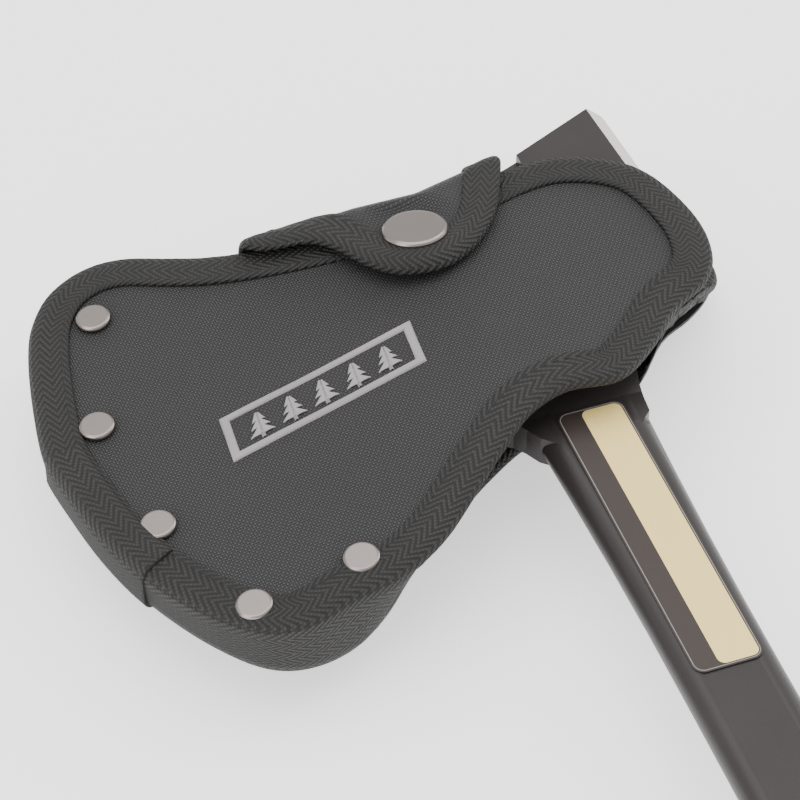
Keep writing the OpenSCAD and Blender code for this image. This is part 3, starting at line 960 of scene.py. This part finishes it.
def badge_piece():
    bm = bmesh.new()
    outer = [Vector(p) for p in ((-31, -7.4), (-27, 7.4), (31, 7.4), (27, -7.4))]
    inner = [Vector(p) for p in ((-28, -5.2), (-25, 5.4), (28, 5.4), (25, -5.2))]
    for k in range(4):
        n = (k + 1) % 4
        satin(bm, (outer[k], outer[n]), (inner[k], inner[n]))
    for i in range(-2, 3):
        foot = Vector((i * 9.6 - 1.0, -4.2))
        for low, high, wide in ((0.9, 4.0, 7.2), (3.2, 6.2, 5.6), (5.4, 8.6, 3.8)):
            tip = foot + Vector((high * 0.27, high))
            for turn in (-1, 1):
                corner = foot + Vector((low * 0.27 + turn * wide / 2, low))
                middle = foot + Vector((low * 0.27, low))
                satin(bm, (corner, tip), (middle, tip), height=0.5)
        satin(bm, (foot + Vector((-0.6, -0.2)), foot + Vector((-0.4, 1.0))),
              (foot + Vector((0.6, -0.2)), foot + Vector((0.8, 1.0))))
    bmesh.ops.remove_doubles(bm, verts=bm.verts, dist=1e-4)
    made = finish_mesh(bm, "badge_threads", badge_thread, "sheath")
    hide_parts("embroidery")


badge_piece()

# ---------------------------------------------------------------- belt loop
# A wide nylon webbing loop that a belt passes through, on the back of the sheath. Its turned-under
# ends are box-stitched through the panel.
loop_low, loop_high = (flat(c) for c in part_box("belt_loop"))


def belt_loop_piece():
    top = -FULL_HALF - 0.05
    under = loop_low.z + 0.05
    thick = 1.9
    y0, y1 = loop_low.y + 0.2, loop_high.y - 0.2
    middle = [(y0, top - thick / 2 - 1.0), (y0 + 5, top - thick / 2 - 1.0),
              (y0 + 6.2, top - thick / 2 - 2.0), (y0 + 6.6, under + thick / 2 + 1.6),
              (y0 + 8.2, under + thick / 2 + 0.2), (y0 + 11, under + thick / 2)]
    middle += [(y0 + y1 - y, z) for y, z in middle[::-1]]
    line = [Vector(p) for p in middle]
    line = spaced(line, 0.8, closed=False, rounds=3)
    sides = inward(line, False, window=1)
    x0, x1 = loop_low.x + 0.3, loop_high.x - 0.3
    bm = bmesh.new()
    ring = [p + side * thick / 2 for p, side in zip(line, sides)]
    ring += [p - side * thick / 2 for p, side in zip(line, sides)][::-1]
    m, columns = len(ring), 48

    def place(column, row):
        p = ring[row % m]
        return x0 + (x1 - x0) * column / (columns - 1), p.x, p.y

    grid(bm, columns, m + 1, place, lambda c, r: (r * 0.8 * MM, c * (x1 - x0) / columns * MM))
    bmesh.ops.remove_doubles(bm, verts=bm.verts, dist=1e-5)
    bmesh.ops.holes_fill(bm, edges=[e for e in bm.edges if e.is_boundary])
    made = finish_mesh(bm, "belt_webbing", loop_webbing, "sheath")
    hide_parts("belt_loop")

    threads = bmesh.new()
    face = top - thick - 1.0
    for low_y, high_y in ((y0 + 0.9, y0 + 4.4), (y1 - 4.4, y1 - 0.9)):
        a, b = Vector((x0 + 3, low_y)), Vector((x1 - 3, high_y))
        box = [a, Vector((b.x, a.y)), b, Vector((a.x, b.y)), a, b]
        for p, q in zip(box, box[1:]):
            count = max(int((q - p).length / 2.6), 1)
            for k in range(count):
                s0, s1 = p.lerp(q, (k + 0.1) / count), p.lerp(q, (k + 0.9) / count)
                strand(threads, s0, s1, 0.55, 0.35, lambda x, y, up: (x, y, face + 0.1 - up))
    finish_mesh(threads, "loop_stitching", dark_thread, "sheath")


belt_loop_piece()

# ---------------------------------------------------------------- seam stitching
# Lock stitches of polyester thread through each tape near its inner edge, pulled down into the
# weave. They hold tape, panel and stiffener together.
def stitch_run(name, line, put, deep, body, pitch=3.1, closed=False):
    bm = bmesh.new()
    sides = inward(line, closed)
    path = spaced([p + side * deep for p, side in zip(line, sides)], pitch, closed)
    for a, b in zip(path, path[1:]):
        strand(bm, a.lerp(b, 0.12), a.lerp(b, 0.88), 0.55, 0.32, put, steps=5)
    made = finish_mesh(bm, name, dark_thread, body)
    return made


def above_tape(side, lift=0.75):
    lay = on_face(side)
    return lambda x, y, up: lay(x, y, lift + up)


stitch_run("front_stitching", front_rim, above_tape(1), TAPE_W - 2.0, "sheath", closed=True)
stitch_run("back_stitching", free_back, above_tape(-1), TAPE_W - 2.0, "sheath")
stitch_run("seam_stitching", [p for p in seam_line if p.x < -84], above_tape(-1),
           TAPE_W - 2.0, "sheath")

# ---------------------------------------------------------------- floor
# White paper under the axe, for the picture only. It glows a little, as paper lit from behind.
FLOOR_GLOW = 0.9


def floor():
    bm = bmesh.new()
    bmesh.ops.create_grid(bm, x_segments=1, y_segments=1, size=4000)
    low = flat(cad_low).z

    def pale(shader, place, sheet):
        tone = place.cloud(3, 2)
        shader.set(Base_Color=tone.mix(grey(0.93), grey(0.95)), Roughness=0.9,
                   Emission_Color=grey(1.0), Emission_Strength=FLOOR_GLOW)

    for v in bm.verts:
        v.co.z = low
    made = finish_mesh(bm, "floor", material("floor_paper", pale))


floor()
